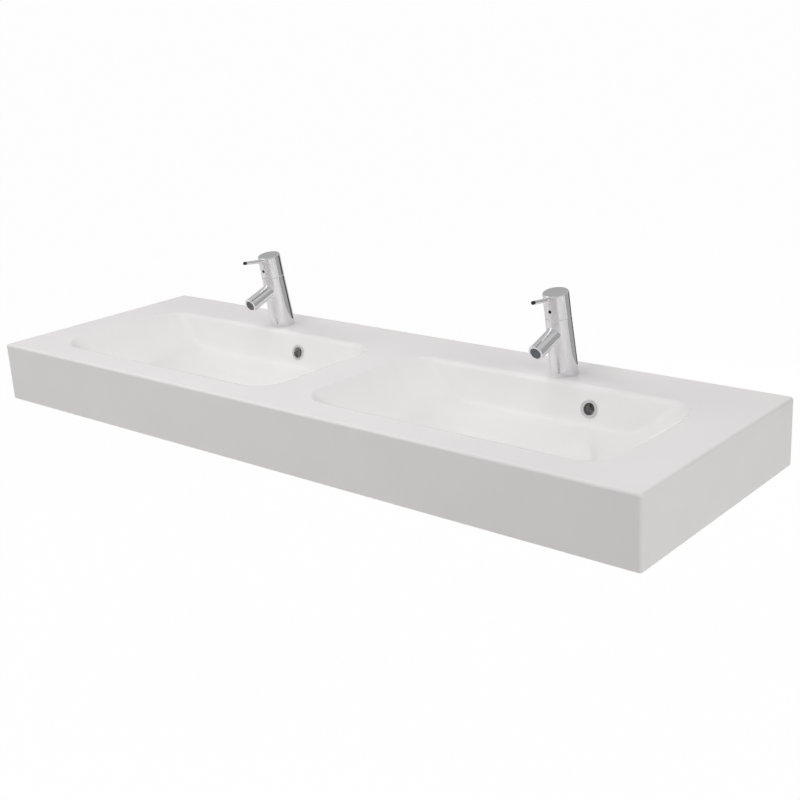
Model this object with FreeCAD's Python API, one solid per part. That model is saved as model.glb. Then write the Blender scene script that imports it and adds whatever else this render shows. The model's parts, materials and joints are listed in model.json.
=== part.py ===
"""Wall-hung double basin with two leaning single-lever mixers, two push plugs and two overflow rings.

Row frame, millimetres: X runs along the basin, +Y points into the wall, +Z is up.
The origin is on the back face, at mid-width, on the line of the wall fixings.
"""

import FreeCAD, Part
import math
import os

from FreeCAD import Vector

OUT = "parts"

# Slab: a ceramic deck with a deep apron all round, open underneath
WIDTH = 1400.0
DEPTH = 450.0
HEIGHT = 110.0
EDGE_ROUND = 5.0
DECK_WALL = 14.0
APRON_WALL = 13.0
BACK_WALL = 16.0
FOOT_ROUND = 2.0

# Wall fixings: one pair of holes behind each bowl
FIXING_DROP = 55.0
FIXING_PAIR = 280.0
FIXING_HOLE_R = 9.0
FIXING_BOSS_R = 21.0
FIXING_BOSS_DEPTH = 30.0

# Bowls: rounded rectangles with long sloping ends and a steep back
END_LEDGE = 91.0
MIDDLE_LEDGE = 78.0
BACK_LEDGE = 109.0
FRONT_LEDGE = 62.0
BOWL_CORNER = 50.0
CORNER_SHARE = 0.96
RIM_ROUND = 12.0
SIDE_RUN = 75.0
BACK_RUN = 18.0
FRONT_RUN = 30.0
FLOOR_RISE = 26.0
COVE_FALL = 25.0
BOWL_SHELL = 12.0
SHELL_GROW_SHARE = 0.85
SHELL_SINK_SHARE = 0.6
# Shares of the drop and of the run at each step down a wall,
# then shares of the fall and of the reach along the floor
WALL_STEPS = ((0.36, 0.32), (0.75, 0.69), (1.0, 1.0))
FLOOR_STEPS = ((0.32, 0.16), (0.57, 0.42), (1.0, 1.0))
RIM_LEAD = 3.0

# Waste outlet in the bowl's floor
WASTE_SHARE = 0.55
WASTE_PAD_MARGIN = 7.0
WASTE_HOLE_R = 23.0
WASTE_BOSS_R = 40.0
WASTE_BOSS_LIFT = 2.0
RECESS_DEPTH = 4.0
RECESS_GAP = 1.0

# Overflow: a ring in the back wall, right of the tap, and a cast duct down to the waste
OVERFLOW_OFFSET = 92.0
OVERFLOW_SHARE = 0.58
OVERFLOW_WALL = 9.0
OVERFLOW_SEAT_CUT = 0.6
RING_FLANGE_R = 14.5
RING_FLANGE_T = 2.0
RING_SLEEVE_R = 11.3
RING_BORE_R = 10.0
RING_SLEEVE_LENGTH = 7.0
RING_ROUND = 0.8
DUCT_WIDTH = 24.0
DUCT_GAUGE = 7.0
DUCT_WALL = 5.5
DUCT_RISE = 12.0

# Tap body: a leaning column with a round spout
TAP_SETBACK = 68.0
TAP_OFFSETS = {"left": 4.0, "right": 13.0}
TAP_HOLE_R = 17.5
LEAN = 9.0
COLUMN_BASE_R = 23.8
COLUMN_RIM_R = 21.6
COLUMN_RIM = 101.0
SPOUT_R = 13.25
SPOUT_FALL = 19.0
SPOUT_REACH = 82.0
SPOUT_END_HEIGHT = 54.0
SPOUT_ROUND = 0.8
SPOUT_BLEND = 2.0
SPOUT_BORE_R = 8.0
SPOUT_BORE_BACK = 36.0
BASE_HOLLOW_R = 16.5
BASE_HOLLOW = 3.0
INLET_R = 4.5
INLET_DEPTH = 12.0
INLET_PITCH = 15.0
INLET_BACK = 3.5
WATERWAY_R = 3.0
RISER_R = 2.5
RISER_FROM = (17.0, 58.3)
RISER_TO = (46.0, 64.0)
MIX_CHAMBER_R = 6.0
MIX_CHAMBER_DEPTH = 12.0

# Tap fixing under the deck
SEAL_R_IN = 18.2
SEAL_R_OUT = 20.2
SEAL_T = 1.6
STUD_R = 4.0
STUD_FORWARD = 9.5
STUD_IN_BODY = 14.0
STUD_TAIL = 8.0
CLAMP_R = 25.0
CLAMP_SLOT_HALF = 13.5
CLAMP_SLOT_START = 3.5
CLAMP_PAD_T = 3.0
CLAMP_PLATE_T = 3.0
NUT_FLATS = 13.0
NUT_T = 10.0

# Aerator in the end of the spout
AERATOR_R = 11.2
AERATOR_LENGTH = 12.0
AERATOR_WALL = 1.6
AERATOR_LIP = 1.5
AERATOR_SEAL_T = 1.5
CORE_INSET = 1.4
CORE_T = 5.0
CORE_HOLE_R = 0.9
CORE_HOLE_RINGS = ((3.0, 6), (6.4, 12))

# Ceramic-disc cartridge on the column's axis, heights measured along that axis from the deck
CARTRIDGE_SEAT = 69.0
CARTRIDGE_R = 17.5
CARTRIDGE_BODY = 26.0
CARTRIDGE_NECK_R = 13.2
CARTRIDGE_NECK = 6.0
CARTRIDGE_BASE = 2.5
CARTRIDGE_LIP = 2.5
CARTRIDGE_LIP_R = 10.6
DISC_ROOM_R = 15.0
FIXED_DISC_T = 4.0
MOVING_DISC_R = 10.6
MOVING_DISC_T = 5.0
POCKET_DEPTH = 4.0
POCKET_GAP = 0.6
OUTLET_FORWARD = 8.0
PORT_SEAL_WALL = 1.3
PORT_SEAL_T = 1.2
CARRIER_R = 11.4
STEM_WIDTH = 8.0
STEM_TOP = 124.0
FINGER_R = 2.8
PIVOT_LIFT = 6.7
PIVOT_PIN_R = 1.5
PIVOT_PIN_LENGTH = 20.0
NUT_RING_R = 18.6
NUT_RING_T = 5.5
NUT_NOTCH = 4.0
NUT_NOTCHES = 4
COLLAR_STEP = 0.2
COLLAR_WALL = 1.8
COLLAR_MOUTH_R = 13.0

# Lever handle: a cap over the cartridge with a slim pin
HANDLE_LIFT = 20.0
HANDLE_GAP = 1.6
HANDLE_SPHERE_GAP = 0.5
HANDLE_WALL = 3.0
HANDLE_TOP = 143.5
HANDLE_TOP_SLOPE = 1.0
HANDLE_TOP_ROUND = 2.2
HANDLE_ROOF = 129.0
SOCKET_R = 9.0
SOCKET_ROOM = 1.0
SCREW_HEIGHT = 117.0
SCREW_R = 2.5
INDEX_R = 2.8
INDEX_PROUD = 0.3
PIN_HEIGHT = 138.0
PIN_RISE = 15.0
PIN_ROOT_R = 3.7
PIN_END_R = 3.1
PIN_REACH = 43.5
PIN_SINK = 8.0
PIN_TENON_R = 2.5
PIN_TENON_LENGTH = 5.0
TIP_LENGTH = 5.0
TIP_ROUND = 1.2
TIP_TENON_R = 1.5
TIP_TENON_LENGTH = 4.0

# Waste body and push plug, heights measured from the recess in the bowl's floor
FLANGE_R = 32.0
FLANGE_T = 3.2
FLANGE_BEVEL = 1.6
FLANGE_SEAL_T = 1.2
FLANGE_SEAL_MARGIN = 1.0
WASTE_BORE_R = 18.3
WASTE_THREAD_R = 20.95
WASTE_GROOVE_R = 20.4
WASTE_GROOVE = 2.0
WASTE_LENGTH = 62.0
WASTE_THREAD_LENGTH = 26.0
WASTE_SLOT_WIDTH = 12.0
LEDGE_R = 26.5
LEDGE_DEPTH = 2.0
BOTTOM_SEAL_T = 5.0
BOTTOM_SEAL_R = 34.0
BOTTOM_SEAL_TAPER = 4.0
BACKNUT_FLATS = 54.0
BACKNUT_T = 9.0
SPIDER_TOP = 30.0
SPIDER_T = 9.0
SPIDER_ARM = 4.0
SPIDER_ARMS = 3
SPIDER_HUB_WALL = 2.5
CLICK_R = 7.0
CLICK_COLLAR_T = 2.0
CLICK_TOP = 15.0
CLICK_BOTTOM = 46.0
CLICK_FLOOR = 2.0
PLUG_STEM_R = 4.5
PLUG_STEM_END_ROOM = 1.0
PLUG_CAP_R = 25.5
PLUG_CAP_T = 1.8
PLUG_DOME = 3.0
PLUG_SEAL_R = 24.5
PLUG_SEAL_WIDTH = 4.0
PLUG_SEAL_T = 1.6
PLUG_HUB_R = 8.0
PLUG_HUB_LENGTH = 8.0
PLUG_HUB_GRIP = 6.0

# Clearances
FIT_GAP = 0.05
RUN_GAP = 0.1
SLIDE_GAP = 0.2
REST_GAP = 0.3

# Places that follow from the sizes above
DECK_Z = FIXING_DROP
FOOT_Z = DECK_Z - HEIGHT
SIDES = ("left", "right")
BOWL_LENGTH = (WIDTH - 2 * END_LEDGE - MIDDLE_LEDGE) / 2
BOWL_PITCH = BOWL_LENGTH + MIDDLE_LEDGE
BOWL_BREADTH = DEPTH - BACK_LEDGE - FRONT_LEDGE
FLOOR_DROP = HEIGHT - FLOOR_RISE
WALL_DROP = FLOOR_DROP - COVE_FALL
OVERFLOW_DROP = OVERFLOW_SHARE * WALL_DROP
WASTE_SETBACK = BACK_LEDGE + WASTE_SHARE * BOWL_BREADTH
MIDDLE_X = {"left": -BOWL_PITCH / 2, "right": BOWL_PITCH / 2}
TAP_X = {side: MIDDLE_X[side] + TAP_OFFSETS[side] for side in SIDES}
SEAT_Z = DECK_Z - FLOOR_DROP - RECESS_DEPTH
BOSS_FOOT_Z = FOOT_Z + WASTE_BOSS_LIFT
DUCT_LOW_Z = BOSS_FOOT_Z + DUCT_WALL
DUCT_HIGH_Z = DUCT_LOW_Z + DUCT_GAUGE
CARTRIDGE_SHOULDER = CARTRIDGE_SEAT + CARTRIDGE_BODY
FIXED_DISC_FOOT = CARTRIDGE_SEAT + CARTRIDGE_BASE
MOVING_DISC_FOOT = FIXED_DISC_FOOT + FIXED_DISC_T + RUN_GAP
CARRIER_FOOT = MOVING_DISC_FOOT + MOVING_DISC_T + SLIDE_GAP
PIVOT_HEIGHT = CARRIER_FOOT + PIVOT_LIFT
FINGER_END = MOVING_DISC_FOOT + MOVING_DISC_T - POCKET_DEPTH + SLIDE_GAP + FINGER_R
CARRIER_HEAD = CARTRIDGE_SHOULDER + CARTRIDGE_NECK - CARTRIDGE_LIP - SLIDE_GAP
HANDLE_FOOT = COLUMN_RIM + HANDLE_GAP
COLLAR_SPHERE_R = math.hypot(COLUMN_RIM_R - COLLAR_STEP, COLUMN_RIM - PIVOT_HEIGHT)
HANDLE_SPHERE_R = COLLAR_SPHERE_R + HANDLE_SPHERE_GAP
FLANGE_TOP = FLANGE_SEAL_T + FLANGE_T
LEDGE = FLANGE_TOP - LEDGE_DEPTH
PLUG_UNDER = LEDGE + REST_GAP + PLUG_SEAL_T

HERE = Vector(0, 0, 0)
AXIS_X = Vector(1, 0, 0)
AXIS_Y = Vector(0, 1, 0)
AXIS_Z = Vector(0, 0, 1)
PIVOT = Vector(0, 0, PIVOT_HEIGHT)


def box(x0, x1, y0, y1, z0, z1):
    """A block between two corners."""
    return Part.makeBox(x1 - x0, y1 - y0, z1 - z0, Vector(x0, y0, z0))


def rod(radius, z0, z1, x=0.0, y=0.0):
    """A round bar along Z."""
    return Part.makeCylinder(radius, z1 - z0, Vector(x, y, z0))


def ring(outer, inner, z0, z1, x=0.0, y=0.0):
    """A plain round ring along Z."""
    return rod(outer, z0, z1, x, y).cut(rod(inner, z0, z1, x, y))


def hexagon(flats, z0, z1):
    """A hexagonal prism along Z, measured across its flats."""
    corner = flats / 2 / math.cos(math.radians(30))
    points = []
    for k in range(7):
        angle = math.radians(60 * k)
        points.append(Vector(corner * math.cos(angle), corner * math.sin(angle), z0))
    return Part.Face(Part.makePolygon(points)).extrude(Vector(0, 0, z1 - z0))


def line(a, b):
    """A straight edge."""
    return Part.LineSegment(a, b).toShape()


def arc(a, middle, b):
    """An arc through three points."""
    return Part.Arc(a, middle, b).toShape()


def turned(points):
    """A solid of revolution about Z from a closed outline of (radius, height) points."""
    corners = [Vector(r, 0, z) for r, z in points]
    return Part.Face(Part.makePolygon(corners + corners[:1])).revolve(HERE, AXIS_Z, 360)


def on_sphere(radius, sphere_r):
    """Point in the XZ plane at a radius from the axis, on a sphere about the lever's pivot."""
    return Vector(radius, 0, PIVOT_HEIGHT + math.sqrt(sphere_r ** 2 - radius ** 2))


def rounded_rectangle(x0, x1, y0, y1, corner, z):
    """A closed wire of four arcs and four lines at one height."""
    corners = ((x1 - corner, y1 - corner, 0), (x0 + corner, y1 - corner, 90),
               (x0 + corner, y0 + corner, 180), (x1 - corner, y0 + corner, 270))
    turns = []
    for cx, cy, start in corners:
        angles = [math.radians(start + turn) for turn in (0, 45, 90)]
        turns.append([Vector(cx + corner * math.cos(a), cy + corner * math.sin(a), z) for a in angles])
    edges = []
    for k, points in enumerate(turns):
        edges.append(arc(*points))
        edges.append(line(points[2], turns[(k + 1) % 4][0]))
    return Part.Wire(edges)


def bowl_sections():
    """Depth below the deck, wall share and floor share of each section of a bowl, from the rim down."""
    lead = -RIM_LEAD / WALL_DROP
    sections = [(WALL_DROP * lead, lead, 0.0)]
    for down, run in WALL_STEPS:
        sections.append((WALL_DROP * down, run, 0.0))
    for down, reach in FLOOR_STEPS:
        sections.append((WALL_DROP + (FLOOR_DROP - WALL_DROP) * down, 1.0, reach))
    return sections


def bowl_form(middle_x, grow=0.0, wall_sink=0.0, floor_sink=0.0):
    """The hollow of a bowl as a solid, or its outer shell when it is grown and sunk."""
    half = BOWL_LENGTH / 2
    pad = FLANGE_R + WASTE_PAD_MARGIN
    back = -BACK_LEDGE
    front = back - BOWL_BREADTH
    reach_side = half - pad
    reach_back = back + WASTE_SETBACK - pad
    reach_front = -WASTE_SETBACK - pad - front
    wires = []
    for depth, wall, floor in bowl_sections():
        side = SIDE_RUN * wall + (reach_side - SIDE_RUN) * floor - grow
        rear = BACK_RUN * wall + (reach_back - BACK_RUN) * floor - grow
        fore = FRONT_RUN * wall + (reach_front - FRONT_RUN) * floor - grow
        widest = CORNER_SHARE * min(half - side, (BOWL_BREADTH - rear - fore) / 2)
        corner = BOWL_CORNER + grow + (widest - BOWL_CORNER - grow) * math.sqrt(floor)
        sink = wall_sink + (floor_sink - wall_sink) * min(1.0, 3 * floor)
        wires.append(rounded_rectangle(middle_x - half + side, middle_x + half - side,
                                       front + fore, back - rear, corner, DECK_Z - depth - sink))
    return Part.makeLoft(wires, True, False)


def overflow_frame(middle_x):
    """Seat point, inward normal and slope of the overflow ring on the back wall of a bowl."""
    (upper_down, upper_run), (lower_down, lower_run) = WALL_STEPS[:2]
    slope = math.atan2(BACK_RUN * (lower_run - upper_run), WALL_DROP * (lower_down - upper_down))
    inset = BACK_RUN * upper_run + (OVERFLOW_DROP - WALL_DROP * upper_down) * math.tan(slope)
    normal = Vector(0, -math.cos(slope), math.sin(slope))
    wall = Vector(middle_x + OVERFLOW_OFFSET, -BACK_LEDGE - inset, DECK_Z - OVERFLOW_DROP)
    return wall - normal * OVERFLOW_SEAT_CUT, normal, math.degrees(slope)


def overflow_duct(middle_x, margin):
    """The overflow duct as a solid, grown by a margin: a leg behind the bowl and a leg under it."""
    half = DUCT_WIDTH / 2 + margin
    seat = overflow_frame(middle_x)[0]
    start_x = middle_x + OVERFLOW_OFFSET
    fore_y = seat.y + OVERFLOW_WALL - margin
    rear_y = seat.y + OVERFLOW_WALL + DUCT_GAUGE + margin
    low_z = DUCT_LOW_Z - margin
    high_z = DUCT_HIGH_Z + margin
    upright = box(start_x - half, start_x + half, fore_y, rear_y, low_z, seat.z + DUCT_RISE + margin)
    begin = Vector(start_x, (rear_y + fore_y) / 2, 0)
    along = Vector(middle_x, -WASTE_SETBACK, 0) - begin
    under = box(-half, half, 0, along.Length, low_z, high_z)
    turn = math.degrees(math.atan2(-along.x, along.y))
    return upright.fuse(under.rotated(HERE, AXIS_Z, turn).translated(begin))


def fixing_places(middle_x):
    """X of the two wall fixings behind a bowl."""
    return (middle_x - FIXING_PAIR / 2, middle_x + FIXING_PAIR / 2)


def underside():
    """The room under the deck, between the apron and the bowls' shells, as a solid to take away."""
    half = WIDTH / 2 - APRON_WALL
    room = box(-half, half, -DEPTH + APRON_WALL, -BACK_WALL, FOOT_Z - 1, DECK_Z - DECK_WALL)
    for middle_x in MIDDLE_X.values():
        room = room.cut(bowl_form(middle_x, BOWL_SHELL * SHELL_GROW_SHARE,
                                  BOWL_SHELL * SHELL_SINK_SHARE, BOWL_SHELL))
        room = room.cut(rod(WASTE_BOSS_R, BOSS_FOOT_Z, DECK_Z, middle_x, -WASTE_SETBACK))
        room = room.cut(overflow_duct(middle_x, DUCT_WALL))
        for x in fixing_places(middle_x):
            room = room.cut(Part.makeCylinder(FIXING_BOSS_R, FIXING_BOSS_DEPTH, Vector(x, 0, 0), -AXIS_Y))
    return room


def basin():
    """The ceramic slab with its two bowls, its holes and its overflow ducts."""
    slab = box(-WIDTH / 2, WIDTH / 2, -DEPTH, 0, FOOT_Z, DECK_Z)
    raised = [e for e in slab.Edges if e.BoundBox.ZMax > DECK_Z - 1 and e.BoundBox.YMin < -1]
    slab = slab.makeFillet(EDGE_ROUND, raised)
    low = [e for e in slab.Edges if e.BoundBox.ZMax < FOOT_Z + 1 and e.BoundBox.YMin < -1]
    slab = slab.makeFillet(FOOT_ROUND, low)
    for middle_x in MIDDLE_X.values():
        slab = slab.cut(bowl_form(middle_x))
    level = [e for e in slab.Edges if e.BoundBox.ZMin > DECK_Z - 0.01]
    rims = [e for e in level if e.BoundBox.YMax < 1 - BACK_LEDGE
            and e.BoundBox.YMin > -1 - BACK_LEDGE - BOWL_BREADTH]
    rims = [e for e in rims if e.BoundBox.XMax < WIDTH / 2 - 2 * EDGE_ROUND
            and e.BoundBox.XMin > 2 * EDGE_ROUND - WIDTH / 2]
    slab = slab.makeFillet(RIM_ROUND, rims)
    slab = slab.cut(underside())
    for x in TAP_X.values():
        slab = slab.cut(rod(TAP_HOLE_R, DECK_Z - 2 * DECK_WALL, DECK_Z + 1, x, -TAP_SETBACK))
    for middle_x in MIDDLE_X.values():
        seat, normal = overflow_frame(middle_x)[:2]
        slab = slab.cut(rod(WASTE_HOLE_R, FOOT_Z - 1, DECK_Z, middle_x, -WASTE_SETBACK))
        slab = slab.cut(rod(FLANGE_R + RECESS_GAP, SEAT_Z, DECK_Z, middle_x, -WASTE_SETBACK))
        slab = slab.cut(overflow_duct(middle_x, 0.0))
        slab = slab.cut(Part.makeCylinder(RING_FLANGE_R + RECESS_GAP, RING_FLANGE_R, seat, normal))
        sleeve_depth = OVERFLOW_WALL + DUCT_GAUGE / 2
        sleeve_room = Part.makeCylinder(RING_SLEEVE_R + SLIDE_GAP, sleeve_depth, seat, -normal)
        slab = slab.cut(sleeve_room)
        for x in fixing_places(middle_x):
            hole = Part.makeCylinder(FIXING_HOLE_R, FIXING_BOSS_DEPTH + 2, Vector(x, 1, 0), -AXIS_Y)
            slab = slab.cut(hole)
    return slab


def overflow_ring():
    """A turned ring with a sleeve, seated at height zero and facing up."""
    foot = -RING_SLEEVE_LENGTH
    body = turned([(RING_BORE_R, foot), (RING_SLEEVE_R, foot), (RING_SLEEVE_R, 0), (RING_FLANGE_R, 0),
                   (RING_FLANGE_R, RING_FLANGE_T), (RING_BORE_R, RING_FLANGE_T)])
    top = [e for e in body.Edges if e.BoundBox.ZMin > RING_FLANGE_T - 0.01]
    return body.makeFillet(RING_ROUND, top)


def leaned(shape):
    """Turn a piece of the tap from its upright axis to the column's lean."""
    return shape.rotated(HERE, AXIS_X, LEAN)


def spout_end():
    """Middle of the spout's end face, and the way it points, in the tap's frame."""
    fall = math.radians(SPOUT_FALL)
    return Vector(0, -SPOUT_REACH, SPOUT_END_HEIGHT), Vector(0, -math.cos(fall), -math.sin(fall))


def in_spout(shape):
    """Move a piece made on Z, with zero at the spout's end face and +Z outward, into the spout."""
    return shape.rotated(HERE, AXIS_X, 90 + SPOUT_FALL).translated(spout_end()[0])


def inlet_places():
    """X and Y of the hot and the cold inlet in the tap's frame."""
    return ((-INLET_PITCH / 2, INLET_BACK), (INLET_PITCH / 2, INLET_BACK))


def port_places():
    """X and Y of the two inlet ports and the outlet port under the cartridge."""
    return inlet_places() + ((0.0, -OUTLET_FORWARD),)


def column():
    """The tapered column, drawn down past the deck so that its foot can be cut level."""
    taper = (COLUMN_BASE_R - COLUMN_RIM_R) / COLUMN_RIM
    below = COLUMN_RIM_R
    foot_r = COLUMN_BASE_R + taper * below
    return Part.makeCone(foot_r, COLUMN_RIM_R, COLUMN_RIM + below, Vector(0, 0, -below))


def tap_body():
    """The cast column and spout with the cartridge's room, the waterways and the fixing holes."""
    end, outward = spout_end()
    length = (SPOUT_REACH - COLUMN_RIM_R) / math.cos(math.radians(SPOUT_FALL))
    spout = Part.makeCylinder(SPOUT_R, length, end, -outward)
    round_edges = [e for e in spout.Edges if e.BoundBox.YLength < SPOUT_R]
    tip = [e for e in round_edges if e.BoundBox.YMin < SPOUT_R / 2 - SPOUT_REACH]
    spout = spout.makeFillet(SPOUT_ROUND, tip)
    body = leaned(column()).fuse(spout).removeSplitter()
    joint = [e for e in body.Edges if e.Curve.TypeId == "Part::GeomBSplineCurve"]
    body = body.makeFillet(SPOUT_BLEND, joint)
    reach = 2 * COLUMN_BASE_R
    body = body.cut(box(-reach, reach, -reach, reach, -reach, 0))

    body = body.cut(leaned(rod(CARTRIDGE_R + SLIDE_GAP, CARTRIDGE_SEAT, COLUMN_RIM + 1)))
    body = body.cut(leaned(rod(NUT_RING_R + FIT_GAP, CARTRIDGE_SHOULDER, COLUMN_RIM + 1)))
    body = body.cut(leaned(rod(MIX_CHAMBER_R, CARTRIDGE_SEAT - MIX_CHAMBER_DEPTH, CARTRIDGE_SEAT + 1,
                               0, -OUTLET_FORWARD)))
    bore_length = (SPOUT_REACH - SPOUT_BORE_BACK) / math.cos(math.radians(SPOUT_FALL))
    body = body.cut(Part.makeCylinder(SPOUT_BORE_R, bore_length, end, -outward))
    start = Vector(0, -RISER_FROM[0], RISER_FROM[1])
    rise = Vector(0, -RISER_TO[0], RISER_TO[1]) - start
    body = body.cut(Part.makeCylinder(RISER_R, rise.Length, start, rise))
    body = body.cut(in_spout(rod(AERATOR_R + FIT_GAP, -AERATOR_LENGTH - AERATOR_SEAL_T, 1)))
    body = body.cut(rod(BASE_HOLLOW_R, -1, BASE_HOLLOW))
    inlet_end = BASE_HOLLOW + INLET_DEPTH
    for x, y in inlet_places():
        body = body.cut(rod(INLET_R, 0, inlet_end, x, y))
        body = body.cut(leaned(rod(WATERWAY_R, inlet_end - 1, CARTRIDGE_SEAT + 1, x, y)))
    body = body.cut(rod(STUD_R + FIT_GAP, -1, STUD_IN_BODY + 1, 0, -STUD_FORWARD))
    return body.cut(ring(SEAL_R_OUT + FIT_GAP, SEAL_R_IN - FIT_GAP, -1, SEAL_T))


def base_seal():
    """The ring in the groove under the column."""
    return ring(SEAL_R_OUT, SEAL_R_IN, 0, SEAL_T)


def fixing_stud():
    """The threaded rod that holds the tap down."""
    foot = -DECK_WALL - CLAMP_PAD_T - CLAMP_PLATE_T - NUT_T - STUD_TAIL
    return rod(STUD_R, foot, STUD_IN_BODY, 0, -STUD_FORWARD)


def horseshoe(z0, z1):
    """A round plate with a slot for the inlets, open to the back, and a hole for the stud."""
    plate = rod(CLAMP_R, z0, z1)
    slot = box(-CLAMP_SLOT_HALF, CLAMP_SLOT_HALF, -CLAMP_SLOT_START, 2 * CLAMP_R, z0 - 1, z1 + 1)
    plate = plate.cut(slot)
    return plate.cut(rod(STUD_R + SLIDE_GAP, z0 - 1, z1 + 1, 0, -STUD_FORWARD))


def clamp_pad():
    """The rubber horseshoe against the underside of the deck."""
    return horseshoe(-DECK_WALL - CLAMP_PAD_T, -DECK_WALL)


def clamp_plate():
    """The steel horseshoe under the rubber one."""
    return horseshoe(-DECK_WALL - CLAMP_PAD_T - CLAMP_PLATE_T, -DECK_WALL - CLAMP_PAD_T)


def stud_nut():
    """The long nut on the stud."""
    top = -DECK_WALL - CLAMP_PAD_T - CLAMP_PLATE_T
    nut = hexagon(NUT_FLATS, top - NUT_T, top).translated(Vector(0, -STUD_FORWARD, 0))
    return nut.cut(rod(STUD_R + FIT_GAP, top - NUT_T - 1, top + 1, 0, -STUD_FORWARD))


def aerator_shell():
    """The threaded ring flush with the spout's end, with a lip that carries the core."""
    inner = AERATOR_R - AERATOR_WALL
    rest = -CORE_INSET - CORE_T
    lip_r = inner - AERATOR_LIP
    lip_z = rest - AERATOR_LIP
    far = -AERATOR_LENGTH
    return in_spout(turned([(inner, 0), (AERATOR_R, 0), (AERATOR_R, far), (inner, far),
                            (inner, lip_z), (lip_r, lip_z), (lip_r, rest), (inner, rest)]))


def aerator_core():
    """The perforated core that shapes the stream."""
    core = rod(AERATOR_R - AERATOR_WALL - FIT_GAP, -CORE_INSET - CORE_T, -CORE_INSET)
    holes = []
    for radius, count in CORE_HOLE_RINGS:
        for k in range(count):
            angle = 2 * math.pi * k / count
            holes.append(rod(CORE_HOLE_R, -CORE_INSET - CORE_T - 1, 0,
                             radius * math.cos(angle), radius * math.sin(angle)))
    return in_spout(core.cut(holes))


def aerator_seal():
    """The ring between the aerator and the step in the spout."""
    return in_spout(ring(AERATOR_R - SLIDE_GAP, SPOUT_BORE_R + SLIDE_GAP,
                         -AERATOR_LENGTH - AERATOR_SEAL_T, -AERATOR_LENGTH))


def cartridge_housing():
    """The cartridge's shell: a base with three ports, room for the discs and a neck for the carrier."""
    top = CARTRIDGE_SHOULDER + CARTRIDGE_NECK
    shell = rod(CARTRIDGE_R, CARTRIDGE_SEAT, CARTRIDGE_SHOULDER)
    shell = shell.fuse(rod(CARTRIDGE_NECK_R, CARTRIDGE_SEAT, top))
    shell = shell.cut(rod(DISC_ROOM_R, FIXED_DISC_FOOT, CARRIER_FOOT - SLIDE_GAP / 2))
    shell = shell.cut(rod(CARRIER_R + RUN_GAP, FIXED_DISC_FOOT, top - CARTRIDGE_LIP))
    shell = shell.cut(rod(CARTRIDGE_LIP_R, FIXED_DISC_FOOT, top + 1))
    for x, y in port_places():
        shell = shell.cut(rod(WATERWAY_R, CARTRIDGE_SEAT - 1, FIXED_DISC_FOOT + 1, x, y))
        shell = shell.cut(rod(WATERWAY_R + PORT_SEAL_WALL + FIT_GAP, CARTRIDGE_SEAT - 1,
                              CARTRIDGE_SEAT + PORT_SEAL_T, x, y))
    return leaned(shell)


def port_seals():
    """The three seals under one cartridge."""
    seals = []
    for x, y in port_places():
        seals.append(leaned(ring(WATERWAY_R + PORT_SEAL_WALL, WATERWAY_R, CARTRIDGE_SEAT,
                                 CARTRIDGE_SEAT + PORT_SEAL_T, x, y)))
    return seals


def fixed_disc():
    """The lower ceramic disc with its three ports."""
    disc = rod(DISC_ROOM_R - SLIDE_GAP, FIXED_DISC_FOOT, FIXED_DISC_FOOT + FIXED_DISC_T)
    for x, y in port_places():
        disc = disc.cut(rod(WATERWAY_R, FIXED_DISC_FOOT - 1, MOVING_DISC_FOOT, x, y))
    return leaned(disc)


def moving_disc():
    """The upper ceramic disc with a pocket for the stem's finger."""
    top = MOVING_DISC_FOOT + MOVING_DISC_T
    disc = rod(MOVING_DISC_R, MOVING_DISC_FOOT, top)
    return leaned(disc.cut(rod(FINGER_R + POCKET_GAP, top - POCKET_DEPTH, top + 1)))


def stem_carrier():
    """The turning carrier, slotted so that the stem can tip back in it."""
    tip = math.radians(HANDLE_LIFT)
    half = STEM_WIDTH / 2 / math.cos(tip)
    back = (CARRIER_HEAD - PIVOT_HEIGHT) * math.tan(tip) + half + REST_GAP
    front = (PIVOT_HEIGHT - CARRIER_FOOT) * math.tan(tip) + half + REST_GAP
    cheek = STEM_WIDTH / 2 + SLIDE_GAP
    carrier = rod(CARRIER_R, CARRIER_FOOT, CARRIER_HEAD)
    carrier = carrier.cut(box(-cheek, cheek, -front, back, CARRIER_FOOT - 1, CARRIER_HEAD + 1))
    return leaned(carrier.cut(cross_pin(PIVOT_PIN_R + FIT_GAP)))


def cross_pin(radius):
    """A round bar across the pivot."""
    start = PIVOT - AXIS_X * (PIVOT_PIN_LENGTH / 2)
    return Part.makeCylinder(radius, PIVOT_PIN_LENGTH, start, AXIS_X)


def pivot_pin():
    """The pin that the stem tips about."""
    return leaned(cross_pin(PIVOT_PIN_R))


def stem():
    """The square stem with a round finger that shifts the moving disc."""
    half = STEM_WIDTH / 2
    knuckle = Part.makeCylinder(half, STEM_WIDTH, PIVOT - AXIS_X * half, AXIS_X)
    shaft = box(-half, half, -half, half, PIVOT_HEIGHT, STEM_TOP).fuse(knuckle)
    shaft = shaft.fuse(rod(FINGER_R, FINGER_END, PIVOT_HEIGHT))
    shaft = shaft.fuse(Part.makeSphere(FINGER_R, Vector(0, 0, FINGER_END))).removeSplitter()
    return leaned(shaft.cut(cross_pin(PIVOT_PIN_R + RUN_GAP)))


def retaining_nut():
    """The notched ring that screws down on the cartridge's shoulder."""
    top = CARTRIDGE_SHOULDER + NUT_RING_T
    nut = ring(NUT_RING_R, CARTRIDGE_NECK_R + SLIDE_GAP, CARTRIDGE_SHOULDER, top)
    for k in range(NUT_NOTCHES):
        notch = box(CARTRIDGE_NECK_R - 1, (CARTRIDGE_NECK_R + NUT_RING_R) / 2,
                    -NUT_NOTCH / 2, NUT_NOTCH / 2, top - NUT_RING_T / 2, top + 1)
        nut = nut.cut(notch.rotated(HERE, AXIS_Z, 360 * k / NUT_NOTCHES))
    return leaned(nut)


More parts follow.
